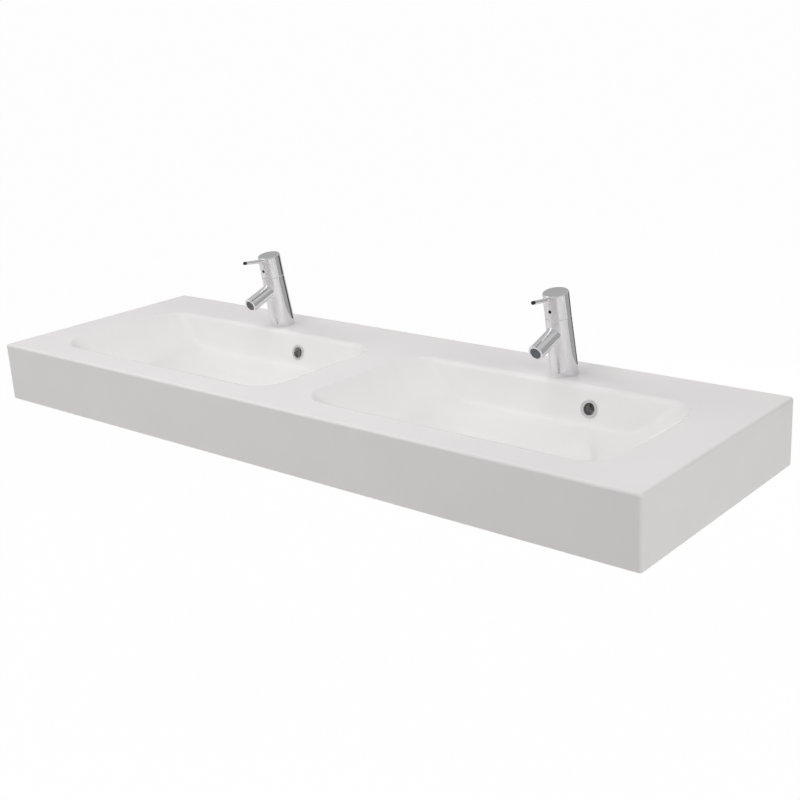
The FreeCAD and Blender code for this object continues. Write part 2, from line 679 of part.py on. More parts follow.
def dome_ring():
    """The domed ring on the column's rim that the handle rides over."""
    inner_r = COLLAR_SPHERE_R - COLLAR_WALL
    outer_foot = Vector(math.sqrt(COLLAR_SPHERE_R ** 2 - (COLUMN_RIM - PIVOT_HEIGHT) ** 2), 0, COLUMN_RIM)
    outer_mouth = on_sphere(COLLAR_MOUTH_R, COLLAR_SPHERE_R)
    inner_mouth = on_sphere(COLLAR_MOUTH_R, inner_r)
    inner_foot = Vector(math.sqrt(inner_r ** 2 - (COLUMN_RIM - PIVOT_HEIGHT) ** 2), 0, COLUMN_RIM)
    outer_middle = on_sphere((outer_foot.x + COLLAR_MOUTH_R) / 2, COLLAR_SPHERE_R)
    inner_middle = on_sphere((inner_foot.x + COLLAR_MOUTH_R) / 2, inner_r)
    edges = [arc(outer_foot, outer_middle, outer_mouth), line(outer_mouth, inner_mouth),
             arc(inner_mouth, inner_middle, inner_foot), line(inner_foot, outer_foot)]
    return leaned(Part.Face(Part.Wire(edges)).revolve(HERE, AXIS_Z, 360))


def front_bar(radius, inner_y, outer_y):
    """A round bar along the tap's front direction at the height of the handle's screw."""
    return Part.makeCylinder(radius, outer_y - inner_y, Vector(0, -inner_y, SCREW_HEIGHT), -AXIS_Y)


def on_handle(shape):
    """Move a piece made on Z, with zero at the cap's surface and +Z outward, to the lever's place."""
    return shape.rotated(HERE, AXIS_X, 90 - PIN_RISE).translated(Vector(0, -COLUMN_RIM_R, PIN_HEIGHT))


def handle():
    """The cap: a slanted top, a socket for the stem and a round hollow that clears the dome ring."""
    cap = rod(COLUMN_RIM_R, HANDLE_FOOT, HANDLE_TOP + COLUMN_RIM_R)
    wide = 2 * COLUMN_RIM_R
    above = box(-wide, wide, -wide, wide, 0, wide)
    cap = cap.cut(above.rotated(HERE, AXIS_X, HANDLE_TOP_SLOPE).translated(Vector(0, 0, HANDLE_TOP)))
    top = [e for e in cap.Edges if e.BoundBox.ZMin > HANDLE_FOOT + COLUMN_RIM_R]
    cap = cap.makeFillet(HANDLE_TOP_ROUND, top)
    hollow = rod(COLUMN_RIM_R - HANDLE_WALL, HANDLE_FOOT - 1, HANDLE_ROOF)
    cap = cap.cut(hollow.cut(rod(SOCKET_R, HANDLE_FOOT - 1, HANDLE_ROOF)))
    cap = cap.cut(Part.makeSphere(HANDLE_SPHERE_R, PIVOT))
    half = STEM_WIDTH / 2 + FIT_GAP
    cap = cap.cut(box(-half, half, -half, half, HANDLE_FOOT, STEM_TOP + SOCKET_ROOM))
    cap = cap.cut(front_bar(SCREW_R + FIT_GAP, 0, COLUMN_RIM_R))
    cap = cap.cut(front_bar(INDEX_R + FIT_GAP, COLUMN_RIM_R - HANDLE_WALL, COLUMN_RIM_R + 1))
    return leaned(cap.cut(on_handle(lever_root(FIT_GAP))))


def lever_root(gap):
    """The sunk end of the lever pin with its tenon, grown by a gap."""
    tenon = rod(PIN_TENON_R + gap, -PIN_SINK - PIN_TENON_LENGTH - gap, 0)
    return tenon.fuse(rod(PIN_ROOT_R + gap, -PIN_SINK - gap, COLUMN_RIM_R / 2))


def lever_length():
    """Length of the lever from the cap's surface to its end."""
    return PIN_REACH / math.cos(math.radians(PIN_RISE))


def lever_pin():
    """The slim tapered lever with a tenon at its root."""
    length = lever_length() - TIP_LENGTH
    pin = Part.makeCone(PIN_ROOT_R, PIN_END_R, length + PIN_SINK, Vector(0, 0, -PIN_SINK))
    pin = pin.fuse(rod(PIN_TENON_R, -PIN_SINK - PIN_TENON_LENGTH, 0))
    pin = pin.cut(rod(TIP_TENON_R + FIT_GAP, length - TIP_TENON_LENGTH - FIT_GAP, length + 1))
    return leaned(on_handle(pin))


def lever_tip():
    """The dark end of the lever, held by its own small tenon."""
    length = lever_length()
    tip = rod(PIN_END_R, length - TIP_LENGTH, length)
    tip = tip.makeFillet(TIP_ROUND, [e for e in tip.Edges if e.BoundBox.ZMin > length - 0.01])
    tip = tip.fuse(rod(TIP_TENON_R, length - TIP_LENGTH - TIP_TENON_LENGTH, length - TIP_LENGTH + 1))
    return leaned(on_handle(tip))


def handle_screw():
    """The headless screw that grips the stem."""
    return leaned(front_bar(SCREW_R, STEM_WIDTH / 2 + FIT_GAP, COLUMN_RIM_R - HANDLE_WALL))


def index_plug():
    """The small plug that covers the screw."""
    return leaned(front_bar(INDEX_R, COLUMN_RIM_R - HANDLE_WALL, COLUMN_RIM_R + INDEX_PROUD))


def waste_body():
    """The flanged waste with overflow slots and a spider for the push-lock unit."""
    foot = -WASTE_LENGTH
    groove = foot + WASTE_THREAD_LENGTH
    body = turned([(WASTE_BORE_R, foot), (WASTE_THREAD_R, foot), (WASTE_THREAD_R, groove),
                   (WASTE_GROOVE_R, groove), (WASTE_GROOVE_R, groove + WASTE_GROOVE),
                   (WASTE_THREAD_R, groove + WASTE_GROOVE), (WASTE_THREAD_R, FLANGE_SEAL_T),
                   (FLANGE_R, FLANGE_SEAL_T), (FLANGE_R, FLANGE_TOP - FLANGE_BEVEL),
                   (FLANGE_R - FLANGE_BEVEL, FLANGE_TOP), (LEDGE_R, FLANGE_TOP), (LEDGE_R, LEDGE),
                   (WASTE_BORE_R, LEDGE)])
    half = WASTE_SLOT_WIDTH / 2
    slot_low = DUCT_LOW_Z - SEAT_Z
    slot_high = DUCT_HIGH_Z - SEAT_Z
    body = body.cut(box(-half, half, -FLANGE_R, FLANGE_R, slot_low, slot_high))
    body = body.cut(box(-FLANGE_R, FLANGE_R, -half, half, slot_low, slot_high))
    spider = rod(CLICK_R + SPIDER_HUB_WALL, -SPIDER_TOP - SPIDER_T, -SPIDER_TOP)
    for k in range(SPIDER_ARMS):
        arm = box(0, (WASTE_BORE_R + WASTE_THREAD_R) / 2, -SPIDER_ARM / 2, SPIDER_ARM / 2,
                  -SPIDER_TOP - SPIDER_T, -SPIDER_TOP)
        spider = spider.fuse(arm.rotated(HERE, AXIS_Z, 90 + 360 * k / SPIDER_ARMS))
    spider = spider.cut(rod(CLICK_R + FIT_GAP, -SPIDER_TOP - SPIDER_T - 1, -SPIDER_TOP + 1))
    return body.fuse(spider).removeSplitter()


def flange_seal():
    """The flat ring between the flange and the recess."""
    return ring(FLANGE_R - FLANGE_SEAL_MARGIN, WASTE_HOLE_R, 0, FLANGE_SEAL_T)


def bottom_seal():
    """The tapered ring pressed up under the bowl."""
    top = BOSS_FOOT_Z - SEAT_Z
    inner = WASTE_THREAD_R + SLIDE_GAP
    return turned([(inner, top - BOTTOM_SEAL_T), (BOTTOM_SEAL_R - BOTTOM_SEAL_TAPER, top - BOTTOM_SEAL_T),
                   (BOTTOM_SEAL_R, top), (inner, top)])


def backnut():
    """The hexagon nut under the tapered ring."""
    top = BOSS_FOOT_Z - SEAT_Z - BOTTOM_SEAL_T
    nut = hexagon(BACKNUT_FLATS, top - BACKNUT_T, top)
    return nut.cut(rod(WASTE_THREAD_R + FIT_GAP, top - BACKNUT_T - 1, top + 1))


def click_unit():
    """The push-lock unit: a closed sleeve with a collar that rests on the spider."""
    collar_r = CLICK_R + SPIDER_HUB_WALL
    unit = rod(CLICK_R, -CLICK_BOTTOM, -CLICK_TOP)
    unit = unit.fuse(rod(collar_r, -SPIDER_TOP, -SPIDER_TOP + CLICK_COLLAR_T))
    return unit.cut(rod(PLUG_STEM_R + RUN_GAP, -CLICK_BOTTOM + CLICK_FLOOR, -CLICK_TOP + 1))


def plug_stem():
    """The plunger under the plug."""
    foot = -CLICK_BOTTOM + CLICK_FLOOR + PLUG_STEM_END_ROOM
    return rod(PLUG_STEM_R, foot, PLUG_UNDER - PLUG_HUB_LENGTH + PLUG_HUB_GRIP)


def plug_cap():
    """The domed cap with a hub for its stem."""
    rise = PLUG_UNDER + PLUG_CAP_T
    crown = rise + PLUG_DOME
    hub_foot = PLUG_UNDER - PLUG_HUB_LENGTH
    dome_r = (PLUG_CAP_R ** 2 + PLUG_DOME ** 2) / (2 * PLUG_DOME)
    middle_r = PLUG_CAP_R / 2
    middle = Vector(middle_r, 0, crown - dome_r + math.sqrt(dome_r ** 2 - middle_r ** 2))
    outline = ((0, crown), (0, hub_foot), (PLUG_HUB_R, hub_foot), (PLUG_HUB_R, PLUG_UNDER),
               (PLUG_CAP_R, PLUG_UNDER), (PLUG_CAP_R, rise))
    corners = [Vector(r, 0, z) for r, z in outline]
    edges = [line(a, b) for a, b in zip(corners, corners[1:])]
    edges.append(arc(corners[-1], middle, corners[0]))
    cap = Part.Face(Part.Wire(edges)).revolve(HERE, AXIS_Z, 360)
    return cap.cut(rod(PLUG_STEM_R + FIT_GAP, hub_foot - 1, hub_foot + PLUG_HUB_GRIP))


def plug_seal():
    """The ring under the cap that closes on the flange's ledge."""
    return ring(PLUG_SEAL_R, PLUG_SEAL_R - PLUG_SEAL_WIDTH, PLUG_UNDER - PLUG_SEAL_T, PLUG_UNDER)


def at_tap(shape, side):
    """Move a piece from the tap's frame to its side."""
    return shape.translated(Vector(TAP_X[side], -TAP_SETBACK, DECK_Z))


def at_waste(shape, side):
    """Move a piece from the waste's frame to its side."""
    return shape.translated(Vector(MIDDLE_X[side], -WASTE_SETBACK, SEAT_Z))


def at_overflow(shape, side):
    """Move a piece from the overflow's frame to its side."""
    seat, normal, slope = overflow_frame(MIDDLE_X[side])
    return shape.rotated(HERE, AXIS_X, 90 - slope).translated(seat)


TAP_PIECES = {
    "tap_body": tap_body,
    "aerator_shell": aerator_shell,
    "aerator_core": aerator_core,
    "cartridge_housing": cartridge_housing,
    "fixed_disc": fixed_disc,
    "moving_disc": moving_disc,
    "stem_carrier": stem_carrier,
    "pivot_pin": pivot_pin,
    "stem": stem,
    "retaining_nut": retaining_nut,
    "dome_ring": dome_ring,
    "handle": handle,
    "lever_pin": lever_pin,
    "lever_tip": lever_tip,
    "handle_screw": handle_screw,
    "index_plug": index_plug,
}
WASTE_PIECES = {
    "waste_body": waste_body,
    "click_unit": click_unit,
    "plug_stem": plug_stem,
    "plug_cap": plug_cap,
    "plug_seal": plug_seal,
}
OVERFLOW_PIECES = {"overflow_ring": overflow_ring}
TAP_GROUPS = {
    "base_seals": base_seal,
    "fixing_studs": fixing_stud,
    "clamp_pads": clamp_pad,
    "clamp_plates": clamp_plate,
    "stud_nuts": stud_nut,
    "aerator_seals": aerator_seal,
    "port_seals": port_seals,
}
WASTE_GROUPS = {
    "flange_seals": flange_seal,
    "bottom_seals": bottom_seal,
    "backnuts": backnut,
}


def write(name, shape):
    """Write one node."""
    shape.exportStep(os.path.join(OUT, name + ".step"))


def write_pair(pieces, place):
    """Write each piece once per side, as its own node."""
    for name, make in pieces.items():
        shape = make()
        for side in SIDES:
            write(name + "_" + side, place(shape, side))


def write_group(groups, place):
    """Write the pieces of both sides as separate solids of one node."""
    for name, make in groups.items():
        made = make()
        solids = made if isinstance(made, list) else [made]
        write(name, Part.makeCompound([place(solid, side) for side in SIDES for solid in solids]))


def main():
    """Build every node of the row."""
    os.makedirs(OUT, exist_ok=True)
    write("basin", basin())
    write_pair(TAP_PIECES, at_tap)
    write_pair(WASTE_PIECES, at_waste)
    write_pair(OVERFLOW_PIECES, at_overflow)
    write_group(TAP_GROUPS, at_tap)
    write_group(WASTE_GROUPS, at_waste)


main()
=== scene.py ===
"""Looks of a wall-hung double basin: glazed china, chrome-plated mixers and a plain pale studio."""

import json
import logging
import math
from dataclasses import dataclass
from enum import Enum
from functools import cached_property

import bpy
import bmesh
from mathutils import Matrix, Vector


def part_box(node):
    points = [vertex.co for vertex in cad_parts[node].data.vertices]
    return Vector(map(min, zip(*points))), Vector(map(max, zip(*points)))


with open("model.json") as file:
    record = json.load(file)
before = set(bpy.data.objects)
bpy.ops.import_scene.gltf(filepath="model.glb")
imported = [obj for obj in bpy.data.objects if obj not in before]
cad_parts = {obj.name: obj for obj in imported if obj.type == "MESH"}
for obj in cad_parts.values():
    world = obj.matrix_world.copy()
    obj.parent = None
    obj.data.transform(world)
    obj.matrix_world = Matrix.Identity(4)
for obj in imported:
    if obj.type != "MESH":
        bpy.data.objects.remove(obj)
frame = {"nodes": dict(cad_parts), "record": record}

LOG = logging.getLogger("double_basin")
MM = 0.001
WHITE = (1.0, 1.0, 1.0, 1.0)
# Depth of the relief of metals and mouldings
SKIN_DEPTH = 0.2 * MM
# Points that the lamps and the cards face, in metres
LAMP_AIM = Vector((0.0, -0.2, 0.0))
CARD_AIM = Vector((0.0, -0.1, 0.1))


class Side(Enum):
    """The two halves of the basin, as the node names spell them."""

    LEFT = "left"
    RIGHT = "right"


class Slot(Enum):
    """Material slots of the record."""

    CHINA = "vitreous_china"
    CHROME = "chrome_plate"
    STEEL = "steel"
    BRASS = "brass"
    RUBBER = "rubber"
    GREY_PLASTIC = "grey_plastic"
    BLACK_PLASTIC = "black_plastic"
    DISC = "disc_ceramic"


def linear(colour: str) -> tuple[float, float, float, float]:
    """Turn an sRGB hex colour to linear values.

    Args:
        colour: Six hex digits after a hash sign.

    Returns:
        Red, green, blue and an alpha of one.
    """
    parts = [int(colour[k:k + 2], 16) / 255 for k in (1, 3, 5)]
    flat = [p / 12.92 if p <= 0.04045 else ((p + 0.055) / 1.055) ** 2.4 for p in parts]
    return (flat[0], flat[1], flat[2], 1.0)


def add(tree: bpy.types.NodeTree, kind: str, values: dict | None = None,
        links: dict | None = None, **settings: object) -> bpy.types.Node:
    """Add a node with its settings, its socket values and its links.

    Args:
        tree: The node tree that takes the node.
        kind: Blender's type name of the node.
        values: Socket name or number to a constant value.
        links: Socket name or number to the output socket that feeds it.
        settings: Properties of the node itself.

    Returns:
        The new node.
    """
    node = tree.nodes.new(kind)
    for name, value in settings.items():
        setattr(node, name, value)
    for key, value in (values or {}).items():
        node.inputs[key].default_value = value
    for key, socket in (links or {}).items():
        tree.links.new(socket, node.inputs[key])
    return node


def new_material(name: str) -> tuple[bpy.types.Material, bpy.types.NodeTree]:
    """Make an empty node material.

    Args:
        name: What the real material is.

    Returns:
        The material and its node tree.
    """
    material = bpy.data.materials.new(name)
    material.use_nodes = True
    material.node_tree.nodes.clear()
    return material, material.node_tree


def per_metre(size_mm: float) -> float:
    """Noise scale, in cycles a metre, whose features are about that many millimetres wide."""
    return 1.0 / (size_mm * MM)


@dataclass(frozen=True)
class GlazedChina:
    """Vitreous china, slip-cast and dipped in a white glaze, bare where it stands and meets the wall.

    The glaze gives a hard clear gloss over a soft white body, a faint orange-peel and slight clouding.
    The biscuit of the bare faces is dull and gritty, and the clay in the overflow ducts is painted darker
    as painted shade.
    """

    body: str = "#f0eded"
    cloud: str = "#ebe9e9"
    biscuit: str = "#dcd5c9"
    # Painted shade: a dark clay colour that stands in for the shade inside the overflow ducts
    duct_painted_shade: str = "#8d877f"
    glaze_ior: float = 1.52
    cloud_mm: float = 90.0
    # Coarser than the real ripple and grit, so that they show
    peel_mm: float = 7.0
    grit_mm: float = 1.2
    # A little softer than fresh glaze, since the bowls show no clear mirror images
    gloss_low: float = 0.14
    gloss_high: float = 0.20
    biscuit_rough: float = 0.75
    relief: float = 0.05
    relief_mm: float = 0.6
    back_y_mm: float = -0.4
    foot_z_mm: float = -54.6
    # Reach and depth of the painted shade inside the ducts
    duct_reach_mm: float = 12.0
    duct_depth_mm: float = 8.0

    def painted_shade_in_ducts(self, tree: bpy.types.NodeTree, place: bpy.types.NodeSocket) -> bpy.types.NodeSocket:
        """A factor that is one inside the ducts behind the overflow rings, where the clay gets painted
        shade.

        Args:
            tree: The tree that takes the nodes.
            place: Object coordinates.

        Returns:
            The factor's socket.
        """
        depth = add(tree, "ShaderNodeSeparateXYZ", links={"Vector": place}).outputs["Y"]
        found = None
        for side in Side:
            low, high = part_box(f"overflow_ring_{side.value}")
            middle = ((low.x + high.x) / 2, high.y, (low.z + high.z) / 2)
            away = add(tree, "ShaderNodeVectorMath", {1: middle}, {0: place}, operation="DISTANCE")
            near = add(tree, "ShaderNodeMath", {1: self.duct_reach_mm * MM}, {0: away.outputs["Value"]},
                       operation="LESS_THAN")
            inside = add(tree, "ShaderNodeMath", {1: high.y + self.duct_depth_mm * MM}, {0: depth},
                         operation="LESS_THAN")
            both = add(tree, "ShaderNodeMath", links={0: near.outputs[0], 1: inside.outputs[0]},
                       operation="MULTIPLY").outputs[0]
            found = both if found is None else add(tree, "ShaderNodeMath", links={0: found, 1: both},
                                                   operation="MAXIMUM").outputs[0]
        return found

    def material(self) -> bpy.types.Material:
        """Build the glaze over the body and the bare faces.

        Returns:
            The finished material.
        """
        material, tree = new_material("glazed_vitreous_china")
        place = add(tree, "ShaderNodeTexCoord").outputs["Object"]
        clouds = add(tree, "ShaderNodeTexNoise", {"Scale": per_metre(self.cloud_mm), "Detail": 2.0},
                     {"Vector": place})
        glaze = add(tree, "ShaderNodeMix", {6: linear(self.body), 7: linear(self.cloud)},
                    {0: clouds.outputs["Fac"]}, data_type="RGBA")
        parts = add(tree, "ShaderNodeSeparateXYZ", links={"Vector": place})
        back = add(tree, "ShaderNodeMath", {1: self.back_y_mm * MM}, {0: parts.outputs["Y"]},
                   operation="GREATER_THAN")
        foot = add(tree, "ShaderNodeMath", {1: self.foot_z_mm * MM}, {0: parts.outputs["Z"]},
                   operation="LESS_THAN")
        bare = add(tree, "ShaderNodeMath", links={0: back.outputs[0], 1: foot.outputs[0]},
                   operation="MAXIMUM")
        grit = add(tree, "ShaderNodeTexNoise", {"Scale": per_metre(self.grit_mm), "Detail": 4.0},
                   {"Vector": place})
        skin = add(tree, "ShaderNodeMix", {7: linear(self.biscuit)},
                   {0: bare.outputs[0], 6: glaze.outputs[2]}, data_type="RGBA")
        # Painted shade: the overflow ducts get the dark clay colour in place of the shade inside them
        colour = add(tree, "ShaderNodeMix", {7: linear(self.duct_painted_shade)},
                     {0: self.painted_shade_in_ducts(tree, place), 6: skin.outputs[2]}, data_type="RGBA")
        gloss = add(tree, "ShaderNodeMapRange", {"To Min": self.gloss_low, "To Max": self.gloss_high},
                    {"Value": clouds.outputs["Fac"]})
        rough = add(tree, "ShaderNodeMix", {3: self.biscuit_rough},
                    {0: bare.outputs[0], 2: gloss.outputs[0]})
        peel = add(tree, "ShaderNodeTexNoise", {"Scale": per_metre(self.peel_mm), "Detail": 1.0},
                   {"Vector": place})
        height = add(tree, "ShaderNodeMix", links={0: bare.outputs[0], 2: peel.outputs["Fac"],
                                                   3: grit.outputs["Fac"]})
        bump = add(tree, "ShaderNodeBump", {"Strength": self.relief, "Distance": self.relief_mm * MM},
                   {"Height": height.outputs[0]})
        shader = add(tree, "ShaderNodeBsdfPrincipled", {"IOR": self.glaze_ior},
                     {"Base Color": colour.outputs[2], "Roughness": rough.outputs[0],
                      "Normal": bump.outputs[0]})
        add(tree, "ShaderNodeOutputMaterial", links={"Surface": shader.outputs[0]})
        return material


@dataclass(frozen=True)
class Metal:
    """A bare or plated metal whose polish wavers a little.

    Plated chrome mirrors the room in clear streaks; turned brass and zinc-plated steel only blur it.
    """

    name: str
    colour: str
    shade: str
    rough_low: float
    rough_high: float
    patch_mm: float
    # Coarser than real tool lines, so that they show
    line_mm: float
    relief: float
    # Tool lines run round a piece, so they are long across and short along it
    line_stretch: tuple[float, float, float] = (0.15, 0.15, 1.0)

    def material(self) -> bpy.types.Material:
        """Build the metal with patches of polish and fine tool lines.

        Returns:
            The finished material.
        """
        material, tree = new_material(self.name)
        place = add(tree, "ShaderNodeTexCoord").outputs["Object"]
        patches = add(tree, "ShaderNodeTexNoise", {"Scale": per_metre(self.patch_mm), "Detail": 3.0},
                      {"Vector": place})
        colour = add(tree, "ShaderNodeMix", {6: linear(self.colour), 7: linear(self.shade)},
                     {0: patches.outputs["Fac"]}, data_type="RGBA")
        rough = add(tree, "ShaderNodeMapRange", {"To Min": self.rough_low, "To Max": self.rough_high},
                    {"Value": patches.outputs["Fac"]})
        stretch = add(tree, "ShaderNodeMapping", {"Scale": self.line_stretch}, {"Vector": place})
        lines = add(tree, "ShaderNodeTexNoise", {"Scale": per_metre(self.line_mm), "Detail": 2.0},
                    {"Vector": stretch.outputs[0]})
        bump = add(tree, "ShaderNodeBump", {"Strength": self.relief, "Distance": SKIN_DEPTH},
                   {"Height": lines.outputs["Fac"]})
        shader = add(tree, "ShaderNodeBsdfPrincipled", {"Metallic": 1.0},
                     {"Base Color": colour.outputs[2], "Roughness": rough.outputs[0],
                      "Normal": bump.outputs[0]})
        add(tree, "ShaderNodeOutputMaterial", links={"Surface": shader.outputs[0]})
        return material


@dataclass(frozen=True)
class Moulding:
    """A moulded rubber, plastic or pressed ceramic with an even colour and a fine skin."""

    name: str
    colour: str
    shade: str
    rough_low: float
    rough_high: float
    # Coarser than the real skin, so that it shows
    skin_mm: float
    relief: float
    ior: float = 1.5

    def material(self) -> bpy.types.Material:
        """Build the moulded skin.

        Returns:
            The finished material.
        """
        material, tree = new_material(self.name)
        place = add(tree, "ShaderNodeTexCoord").outputs["Object"]
        skin = add(tree, "ShaderNodeTexNoise", {"Scale": per_metre(self.skin_mm), "Detail": 4.0},
                   {"Vector": place})
        colour = add(tree, "ShaderNodeMix", {6: linear(self.colour), 7: linear(self.shade)},
                     {0: skin.outputs["Fac"]}, data_type="RGBA")
        rough = add(tree, "ShaderNodeMapRange", {"To Min": self.rough_low, "To Max": self.rough_high},
                    {"Value": skin.outputs["Fac"]})
        bump = add(tree, "ShaderNodeBump", {"Strength": self.relief, "Distance": SKIN_DEPTH},
                   {"Height": skin.outputs["Fac"]})
        shader = add(tree, "ShaderNodeBsdfPrincipled", {"IOR": self.ior},
                     {"Base Color": colour.outputs[2], "Roughness": rough.outputs[0],
                      "Normal": bump.outputs[0]})
        add(tree, "ShaderNodeOutputMaterial", links={"Surface": shader.outputs[0]})
        return material


# Polished chrome plate, bright and nearly without colour, so that it shows the white glaze round it
CHROME = Metal(
    name="polished_chrome_plate", colour="#efeff0", shade="#e9e9eb",
    rough_low=0.03, rough_high=0.06, patch_mm=25.0, line_mm=3.0, relief=0.01,
)
# Free-cutting brass, turned, with fine feed lines that blur what it mirrors
BRASS = Metal(
    name="turned_brass", colour="#c8a765", shade="#b8954f",
    rough_low=0.24, rough_high=0.36, patch_mm=8.0, line_mm=0.8, relief=0.10,
)
# Zinc-plated steel, grey and a little cloudy
STEEL = Metal(
    name="zinc_plated_steel", colour="#b9bcbe", shade="#a5a8ab",
    rough_low=0.28, rough_high=0.42, patch_mm=6.0, line_mm=0.9, relief=0.08,
)
# Moulded black EPDM, dull and slightly dusty
RUBBER = Moulding(
    name="moulded_black_epdm", colour="#1d1d1e", shade="#262627",
    rough_low=0.65, rough_high=0.85, skin_mm=1.0, relief=0.15,
)
# Moulded acetal, dense and slightly waxy
GREY_PLASTIC = Moulding(
    name="moulded_grey_acetal", colour="#76797c", shade="#6c6f72",
    rough_low=0.38, rough_high=0.50, skin_mm=1.5, relief=0.06, ior=1.48,
)
# ABS from a polished mould, black with a clear gloss
BLACK_PLASTIC = Moulding(
    name="moulded_black_abs", colour="#0d0d0f", shade="#131315",
    rough_low=0.16, rough_high=0.24, skin_mm=2.0, relief=0.03, ior=1.53,
)
# Sintered alumina, ground flat, a warm white with a soft sheen
DISC = Moulding(
    name="ground_alumina", colour="#f0eee8", shade="#e8e6df",
    rough_low=0.25, rough_high=0.38, skin_mm=1.0, relief=0.04, ior=1.76,
)
CHINA = GlazedChina()

FINISHES = {
    Slot.CHINA: CHINA,
    Slot.CHROME: CHROME,
    Slot.STEEL: STEEL,
    Slot.BRASS: BRASS,
    Slot.RUBBER: RUBBER,
    Slot.GREY_PLASTIC: GREY_PLASTIC,
    Slot.BLACK_PLASTIC: BLACK_PLASTIC,
    Slot.DISC: DISC,
}


@dataclass
class SmoothSkin:
    """Joins a node's loose triangles and rounds its shading up to a crease angle."""

    crease_deg: float = 32.0
    weld_mm: float = 0.002
    face_weight: int = 50

    @cached_property
    def group(self) -> bpy.types.NodeTree:
        """Build the geometry nodes that weld and shade a mesh, once for all nodes.

        Returns:
            The node group that a modifier uses.
        """
        tree = bpy.data.node_groups.new("smooth_skin", "GeometryNodeTree")
        tree.interface.new_socket("Mesh", in_out="INPUT", socket_type="NodeSocketGeometry")
        tree.interface.new_socket("Mesh", in_out="OUTPUT", socket_type="NodeSocketGeometry")
        start = add(tree, "NodeGroupInput")
        weld = add(tree, "GeometryNodeMergeByDistance", {"Distance": self.weld_mm * MM},
                   {"Geometry": start.outputs[0]})
        faces = add(tree, "GeometryNodeSetShadeSmooth", {"Shade Smooth": True},
                    {"Geometry": weld.outputs[0]}, domain="FACE")
        angle = add(tree, "GeometryNodeInputMeshEdgeAngle")
        soft = add(tree, "FunctionNodeCompare", {1: math.radians(self.crease_deg)},
                   {0: angle.outputs[0]}, data_type="FLOAT", operation="LESS_EQUAL")
        edges = add(tree, "GeometryNodeSetShadeSmooth", links={"Geometry": faces.outputs[0],
                                                               "Shade Smooth": soft.outputs[0]},
                    domain="EDGE")
        add(tree, "NodeGroupOutput", links={0: edges.outputs[0]})
        return tree


@dataclass
class SubAssembly:
    """CAD nodes that are put together as one thing, with the skin that they share."""

    skin: SmoothSkin

    def names(self) -> list[str]:
        """Names of the nodes that belong here."""
        raise NotImplementedError

    def dress(self, materials: dict[str, bpy.types.Material]) -> list[str]:
        """Give each node its finish by the record's slot, and its smooth skin.

        Args:
            materials: Slot name to finished material.

        Returns:
            The names of the dressed nodes.
        """
        slots = {row["node"]: row["material_slot"] for row in frame["record"]["subparts"]}
        for name in self.names():
            node = frame["nodes"][name]
            node.data.materials.clear()
            node.data.materials.append(materials[slots[name]])
            node.modifiers.new("smooth_skin", "NODES").node_group = self.skin.group
            level = node.modifiers.new("level_faces", "WEIGHTED_NORMAL")
            level.mode = "FACE_AREA"
            level.weight = self.skin.face_weight
            level.keep_sharp = True
            LOG.info("dressed %s with %s", name, slots[name])
        return self.names()


@dataclass
class Slab(SubAssembly):
    """The glazed slab with its two bowls and the rings of their overflows."""

    def names(self) -> list[str]:
        """The slab and one ring a bowl."""
        return ["basin"] + [f"overflow_ring_{side.value}" for side in Side]


@dataclass
class Mixer(SubAssembly):
    """One single-lever tap: body, aerator, cartridge and handle."""

    side: Side
    stems: tuple[str, ...] = (
        "tap_body", "aerator_shell", "aerator_core", "cartridge_housing", "fixed_disc", "moving_disc",
        "stem_carrier", "pivot_pin", "stem", "retaining_nut", "dome_ring", "handle", "handle_screw",
        "lever_pin", "lever_tip", "index_plug",
    )

    def names(self) -> list[str]:
        """The tap's nodes on this side."""
        return [f"{stem}_{self.side.value}" for stem in self.stems]


@dataclass
class Waste(SubAssembly):
    """One push-to-open waste under a bowl."""

    side: Side
    stems: tuple[str, ...] = ("waste_body", "click_unit", "plug_stem", "plug_cap", "plug_seal")

    def names(self) -> list[str]:
        """The waste's nodes on this side."""
        return [f"{stem}_{self.side.value}" for stem in self.stems]


@dataclass
class Fittings(SubAssembly):
    """Seals, nuts and clamps, one node for both sides."""

    kinds: tuple[str, ...] = (
        "aerator_seals", "port_seals", "base_seals", "clamp_pads", "clamp_plates", "fixing_studs",
        "stud_nuts", "flange_seals", "bottom_seals", "backnuts",
    )

    def names(self) -> list[str]:
        """The nodes of both sides."""
        return list(self.kinds)


@dataclass(frozen=True)
class Lamp:
    """A soft rectangular lamp that faces the basin and stays out of its reflections."""

    name: str
    place: tuple[float, float, float]
    size: tuple[float, float]
    power: float

    def hang(self) -> None:
        """Hang the lamp."""
        light = bpy.data.lights.new(self.name, "AREA")
        light.shape = "RECTANGLE"
        light.size, light.size_y = self.size
        light.energy = self.power
        lamp = bpy.data.objects.new(self.name, light)
        lamp.location = self.place
        aim = LAMP_AIM - Vector(self.place)
        lamp.rotation_euler = aim.to_track_quat("-Z", "Y").to_euler()
        lamp.visible_glossy = False
        bpy.context.scene.collection.objects.link(lamp)


